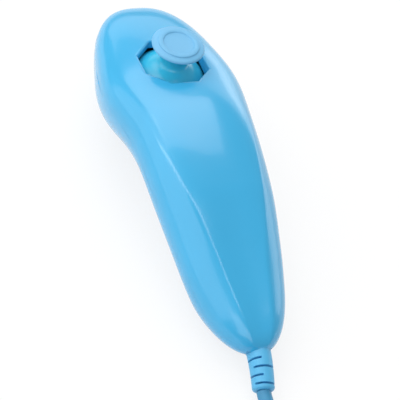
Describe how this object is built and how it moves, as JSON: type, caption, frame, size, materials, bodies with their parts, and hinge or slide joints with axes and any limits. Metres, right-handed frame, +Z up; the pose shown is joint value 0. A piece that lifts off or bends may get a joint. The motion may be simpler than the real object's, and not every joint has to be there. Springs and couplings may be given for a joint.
{
  "type": "motion game controller",
  "caption": "Handheld motion game controller for one hand, with a thumb-stick in an octagonal gate, finger buttons under the nose and a coiled cord with a plug.",
  "frame": {"origin": "under the middle of the handset, on the surface that it rests on", "axes": "+Y towards the nose, +Z up with the thumb-stick, +X to the right of the thumb-stick seen from the tail"},
  "size_m": [0.0606, 0.1888, 0.037],
  "materials": {
    "blue_shell": "glossy, light blue",
    "blue_button": "glossy, light blue",
    "stick_blue": "fine satin",
    "blue_rubber": "satin",
    "soft_rubber": "matte",
    "white_plastic": "satin",
    "black_plastic": "satin",
    "board_green": "satin lacquer",
    "amber_film": "smooth film",
    "steel": "bright",
    "contact_brass": "bright"
  },
  "bodies": {
    "housing": {"upper_shell": "blue_shell", "lower_shell": "blue_shell", "button_bezel": "blue_shell", "shell_screws": "steel", "stick_screws": "steel", "main_board_screws": "steel", "button_board_screws": "steel", "centring_spring": "steel", "button_membrane": "soft_rubber", "button_board": "board_green", "main_board": "board_green", "spring_plate": "white_plastic", "stick_frame": "black_plastic", "side_potentiometer": "black_plastic", "rear_potentiometer": "black_plastic", "controller_chip": "black_plastic", "motion_sensor": "black_plastic", "capacitors": "black_plastic", "cable_socket": "white_plastic", "lead_plug": "white_plastic", "inner_leads": "soft_rubber", "stick_flex": "amber_film", "button_flex": "amber_film", "strain_relief": "blue_rubber", "cord": "blue_rubber", "cord_coil": "blue_rubber", "cord_end": "blue_rubber", "plug_housing": "blue_shell", "plug_nose": "white_plastic", "plug_contacts": "contact_brass"},
    "rocker": {"stick_rocker": "white_plastic"},
    "stick": {"stick_shaft": "white_plastic", "stick_stem": "stick_blue", "stick_cap": "stick_blue"},
    "bail": {"stick_bail": "white_plastic"},
    "upper_button": {"upper_button": "blue_button"},
    "trigger": {"lower_button": "blue_button"},
    "left_release": {"left_release": "blue_button"},
    "right_release": {"right_release": "blue_button"}
  },
  "joints": [
    {"name": "rocker_tilt", "type": "hinge", "parent": "housing", "child": "rocker", "pos_m": [0, 0.0267, 0.0175], "axis": [1, 0, 0], "range_deg": [-15, 15], "stiffness_Nm_per_rad": 0.04},
    {"name": "stick_tilt", "type": "hinge", "parent": "rocker", "child": "stick", "pos_m": [0, 0.0267, 0.0175], "axis": [0, 1, 0], "range_deg": [-15, 15], "stiffness_Nm_per_rad": 0.04},
    {"name": "bail_tilt", "type": "hinge", "parent": "housing", "child": "bail", "pos_m": [0, 0.0267, 0.0175], "axis": [0, 1, 0], "range_deg": [-19, 19]},
    {"name": "upper_button_press", "type": "slide", "parent": "housing", "child": "upper_button", "axis": [0, -0.788, 0.6157], "range_m": [0, 0.0011], "stiffness_N_per_m": 300, "springref_m": -0.0006},
    {"name": "trigger_press", "type": "slide", "parent": "housing", "child": "trigger", "axis": [0, -0.788, 0.6157], "range_m": [0, 0.0011], "stiffness_N_per_m": 300, "springref_m": -0.0006},
    {"name": "left_release_press", "type": "slide", "parent": "housing", "child": "left_release", "axis": [0, 1, 0], "range_m": [0, 0.0008], "stiffness_N_per_m": 100, "springref_m": -0.0006},
    {"name": "right_release_press", "type": "slide", "parent": "housing", "child": "right_release", "axis": [0, -1, 0], "range_m": [0, 0.0008], "stiffness_N_per_m": 100, "springref_m": -0.0006}
  ],
  "couplings": [
    {"joint": "bail_tilt", "follows": "stick_tilt", "ratio": 1}
  ]
}
